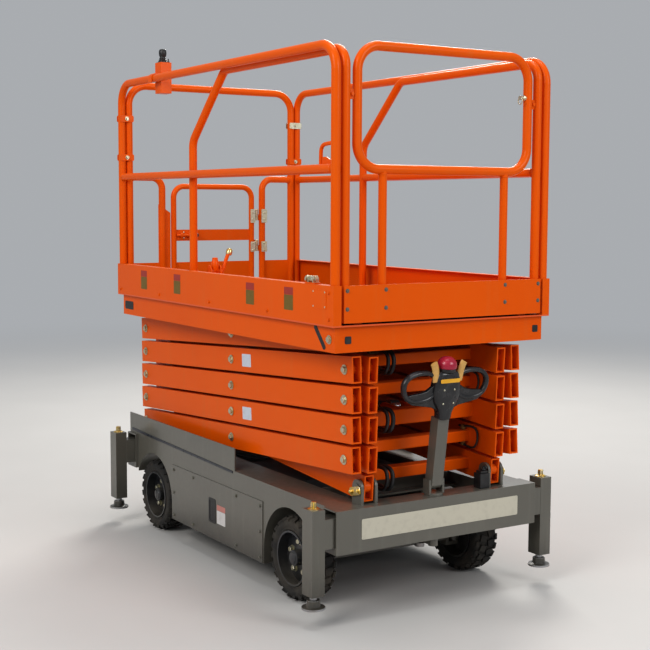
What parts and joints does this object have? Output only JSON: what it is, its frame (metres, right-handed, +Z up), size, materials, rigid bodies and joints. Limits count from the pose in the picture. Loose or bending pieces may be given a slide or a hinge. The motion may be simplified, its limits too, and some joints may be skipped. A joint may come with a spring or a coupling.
{
  "type": "mobile scissor lift",
  "caption": "Towable scissor lift with a guarded platform, extension deck, folded scissor, outriggers and a steering tiller.",
  "frame": {"origin": "on the ground under the middle of the machine", "axes": "+X towards the tiller at the front, +Y to the left, +Z up"},
  "size_m": [2.2081, 1.276, 2.431],
  "materials": {
    "orange_paint": "glossy orange paint on the platform, its rails and the scissor arms",
    "graphite_paint": "graphite grey paint on the chassis and the tiller",
    "zinc": "yellow passivated zinc on pins, hinges and screws",
    "bare_steel": "plain steel of rollers, tracks and the steering links",
    "deck_steel": "dark tread plate of both decks",
    "chrome_rod": "hard chrome of the lift cylinder rod",
    "tyre_rubber": "black block tread tyre",
    "rim_paint": "dark grey rim",
    "black_plastic": "black moulded tiller head",
    "red_plastic": "dull red push button",
    "pack_block": "plain dark block for batteries, pump and tank"
  },
  "bodies": {
    "chassis": {"base_floor": "graphite_paint", "front_beam": "graphite_paint", "rear_beam": "graphite_paint", "power_pack": "pack_block", "entry_ladder": "graphite_paint", "rear_axle": "graphite_paint", "front_axle": "graphite_paint", "side_box_right": "graphite_paint", "side_box_left": "graphite_paint"},
    "inner_arms_1": {"inner_arms_1": "orange_paint"},
    "outer_arms_1": {"outer_arms_1": "orange_paint", "bottom_rollers": "bare_steel"},
    "inner_arms_2": {"inner_arms_2": "orange_paint"},
    "outer_arms_2": {"outer_arms_2": "orange_paint"},
    "inner_arms_3": {"inner_arms_3": "orange_paint"},
    "outer_arms_3": {"outer_arms_3": "orange_paint"},
    "inner_arms_4": {"inner_arms_4": "orange_paint"},
    "outer_arms_4": {"outer_arms_4": "orange_paint"},
    "inner_arms_5": {"inner_arms_5": "orange_paint", "top_rollers": "bare_steel"},
    "outer_arms_5": {"outer_arms_5": "orange_paint"},
    "platform": {"platform_frame": "orange_paint", "deck": "deck_steel", "rear_rail": "orange_paint", "control_box": "orange_paint", "toe_board_right": "orange_paint", "guardrail_right": "orange_paint", "toe_board_left": "orange_paint", "guardrail_left": "orange_paint"},
    "cylinder_barrel": {"cylinder_barrel": "orange_paint"},
    "cylinder_rod": {"cylinder_rod": "chrome_rod"},
    "extension": {"extension_deck": "orange_paint", "extension_rail_right": "orange_paint", "extension_rail_left": "orange_paint", "front_loop": "orange_paint"},
    "gate": {"gate": "orange_paint"},
    "outrigger_front_right": {"outrigger_front_right": "graphite_paint"},
    "jack_front_right": {"jack_front_right": "zinc"},
    "outrigger_front_left": {"outrigger_front_left": "graphite_paint"},
    "jack_front_left": {"jack_front_left": "zinc"},
    "outrigger_rear_right": {"outrigger_rear_right": "graphite_paint"},
    "jack_rear_right": {"jack_rear_right": "zinc"},
    "outrigger_rear_left": {"outrigger_rear_left": "graphite_paint"},
    "jack_rear_left": {"jack_rear_left": "zinc"},
    "tiller_yoke": {"tiller_yoke": "graphite_paint"},
    "tiller": {"tiller_arm": "graphite_paint", "tiller_head": "black_plastic", "tiller_button": "red_plastic"},
    "tie_rod": {"tie_rod": "bare_steel"},
    "knuckle_right": {"knuckle_right": "bare_steel"},
    "front_wheel_right": {"front_rim_right": "rim_paint", "front_tyre_right": "tyre_rubber"},
    "rear_wheel_right": {"rear_rim_right": "rim_paint", "rear_tyre_right": "tyre_rubber"},
    "knuckle_left": {"knuckle_left": "bare_steel"},
    "front_wheel_left": {"front_rim_left": "rim_paint", "front_tyre_left": "tyre_rubber"},
    "rear_wheel_left": {"rear_rim_left": "rim_paint", "rear_tyre_left": "tyre_rubber"}
  },
  "joints": [
    {"name": "scissor_lift", "type": "hinge", "parent": "chassis", "child": "inner_arms_1", "pos_m": [0.955, 0, 0.532], "axis": [0, 1, 0], "range_deg": [0, 38]},
    {"name": "middle_pins_1", "type": "hinge", "parent": "inner_arms_1", "child": "outer_arms_1", "pos_m": [-0.01, 0, 0.59275], "axis": [0, 1, 0], "range_deg": [-76.02, 0]},
    {"name": "front_pins_2", "type": "hinge", "parent": "outer_arms_1", "child": "inner_arms_2", "pos_m": [0.955, 0, 0.6535], "axis": [0, 1, 0], "range_deg": [0, 76.02]},
    {"name": "middle_pins_2", "type": "hinge", "parent": "inner_arms_2", "child": "outer_arms_2", "pos_m": [-0.01, 0, 0.71425], "axis": [0, 1, 0], "range_deg": [-76.02, 0]},
    {"name": "front_pins_3", "type": "hinge", "parent": "outer_arms_2", "child": "inner_arms_3", "pos_m": [0.955, 0, 0.775], "axis": [0, 1, 0], "range_deg": [0, 76.02]},
    {"name": "middle_pins_3", "type": "hinge", "parent": "inner_arms_3", "child": "outer_arms_3", "pos_m": [-0.01, 0, 0.83575], "axis": [0, 1, 0], "range_deg": [-76.02, 0]},
    {"name": "front_pins_4", "type": "hinge", "parent": "outer_arms_3", "child": "inner_arms_4", "pos_m": [0.955, 0, 0.8965], "axis": [0, 1, 0], "range_deg": [0, 76.02]},
    {"name": "middle_pins_4", "type": "hinge", "parent": "inner_arms_4", "child": "outer_arms_4", "pos_m": [-0.01, 0, 0.95725], "axis": [0, 1, 0], "range_deg": [-76.02, 0]},
    {"name": "front_pins_5", "type": "hinge", "parent": "outer_arms_4", "child": "inner_arms_5", "pos_m": [0.955, 0, 1.018], "axis": [0, 1, 0], "range_deg": [0, 76.02]},
    {"name": "middle_pins_5", "type": "hinge", "parent": "inner_arms_5", "child": "outer_arms_5", "pos_m": [-0.01, 0, 1.07875], "axis": [0, 1, 0], "range_deg": [-76.02, 0]},
    {"name": "platform_pins", "type": "hinge", "parent": "outer_arms_5", "child": "platform", "pos_m": [0.955, 0, 1.1395], "axis": [0, 1, 0], "range_deg": [0, 38.01]},
    {"name": "cylinder_swing", "type": "hinge", "parent": "inner_arms_1", "child": "cylinder_barrel", "pos_m": [-0.83146, 0, 0.64446], "axis": [0, 1, 0], "range_deg": [-88.7, 0]},
    {"name": "cylinder_stroke", "type": "slide", "parent": "cylinder_barrel", "child": "cylinder_rod", "axis": [0.9952, 0, 0.0978], "range_m": [0, 0.363]},
    {"name": "extension_slide", "type": "slide", "parent": "platform", "child": "extension", "axis": [1, 0, 0], "range_m": [0, 0.9]},
    {"name": "gate_hinge", "type": "hinge", "parent": "platform", "child": "gate", "pos_m": [-1.0357, 0.266, 1.43], "axis": [0, 0, 1], "range_deg": [0, 95]},
    {"name": "outrigger_front_right_slide", "type": "slide", "parent": "chassis", "child": "outrigger_front_right", "axis": [0, -1, 0], "range_m": [0, 0.3]},
    {"name": "jack_front_right_screw", "type": "slide", "parent": "outrigger_front_right", "child": "jack_front_right", "axis": [0, 0, -1], "range_m": [0, 0.07]},
    {"name": "outrigger_front_left_slide", "type": "slide", "parent": "chassis", "child": "outrigger_front_left", "axis": [0, 1, 0], "range_m": [0, 0.3]},
    {"name": "jack_front_left_screw", "type": "slide", "parent": "outrigger_front_left", "child": "jack_front_left", "axis": [0, 0, -1], "range_m": [0, 0.07]},
    {"name": "outrigger_rear_right_slide", "type": "slide", "parent": "chassis", "child": "outrigger_rear_right", "axis": [0, -1, 0], "range_m": [0, 0.3]},
    {"name": "jack_rear_right_screw", "type": "slide", "parent": "outrigger_rear_right", "child": "jack_rear_right", "axis": [0, 0, -1], "range_m": [0, 0.07]},
    {"name": "outrigger_rear_left_slide", "type": "slide", "parent": "chassis", "child": "outrigger_rear_left", "axis": [0, 1, 0], "range_m": [0, 0.3]},
    {"name": "jack_rear_left_screw", "type": "slide", "parent": "outrigger_rear_left", "child": "jack_rear_left", "axis": [0, 0, -1], "range_m": [0, 0.07]},
    {"name": "steering", "type": "hinge", "parent": "chassis", "child": "tiller_yoke", "pos_m": [0.9815, 0, 0.47], "axis": [0, 0, 1], "range_deg": [-33, 33]},
    {"name": "tiller_tilt", "type": "hinge", "parent": "tiller_yoke", "child": "tiller", "pos_m": [0.9815, 0, 0.512], "axis": [0, 1, 0], "range_deg": [0, 70]},
    {"name": "tie_rod_shift", "type": "slide", "parent": "chassis", "child": "tie_rod", "axis": [0, 1, 0], "range_m": [-0.0525, 0.0525]},
    {"name": "kingpin_right", "type": "hinge", "parent": "chassis", "child": "knuckle_right", "pos_m": [0.64, -0.375, 0.18], "axis": [0, 0, 1], "range_deg": [-22.1, 22.1]},
    {"name": "front_wheel_right_spin", "type": "hinge", "parent": "knuckle_right", "child": "front_wheel_right", "pos_m": [0.64, -0.432, 0.18], "axis": [0, 1, 0], "continuous": true},
    {"name": "rear_wheel_right_spin", "type": "hinge", "parent": "chassis", "child": "rear_wheel_right", "pos_m": [-0.735, -0.432, 0.18], "axis": [0, 1, 0], "continuous": true},
    {"name": "kingpin_left", "type": "hinge", "parent": "chassis", "child": "knuckle_left", "pos_m": [0.64, 0.375, 0.18], "axis": [0, 0, 1], "range_deg": [-22.1, 22.1]},
    {"name": "front_wheel_left_spin", "type": "hinge", "parent": "knuckle_left", "child": "front_wheel_left", "pos_m": [0.64, 0.432, 0.18], "axis": [0, 1, 0], "continuous": true},
    {"name": "rear_wheel_left_spin", "type": "hinge", "parent": "chassis", "child": "rear_wheel_left", "pos_m": [-0.735, 0.432, 0.18], "axis": [0, 1, 0], "continuous": true}
  ],
  "couplings": [
    {"joint": "middle_pins_1", "follows": "scissor_lift", "ratio": -2},
    {"joint": "front_pins_2", "follows": "scissor_lift", "ratio": 2},
    {"joint": "middle_pins_2", "follows": "scissor_lift", "ratio": -2},
    {"joint": "front_pins_3", "follows": "scissor_lift", "ratio": 2},
    {"joint": "middle_pins_3", "follows": "scissor_lift", "ratio": -2},
    {"joint": "front_pins_4", "follows": "scissor_lift", "ratio": 2},
    {"joint": "middle_pins_4", "follows": "scissor_lift", "ratio": -2},
    {"joint": "front_pins_5", "follows": "scissor_lift", "ratio": 2},
    {"joint": "middle_pins_5", "follows": "scissor_lift", "ratio": -2},
    {"joint": "platform_pins", "follows": "scissor_lift", "ratio": 1},
    {"joint": "cylinder_swing", "follows": "scissor_lift", "ratio": -2.32},
    {"joint": "cylinder_stroke", "follows": "scissor_lift", "m_per_rad": 0.54431},
    {"joint": "tie_rod_shift", "follows": "steering", "m_per_rad": -0.09},
    {"joint": "kingpin_right", "follows": "steering", "ratio": 0.6667},
    {"joint": "kingpin_left", "follows": "steering", "ratio": 0.6667}
  ]
}
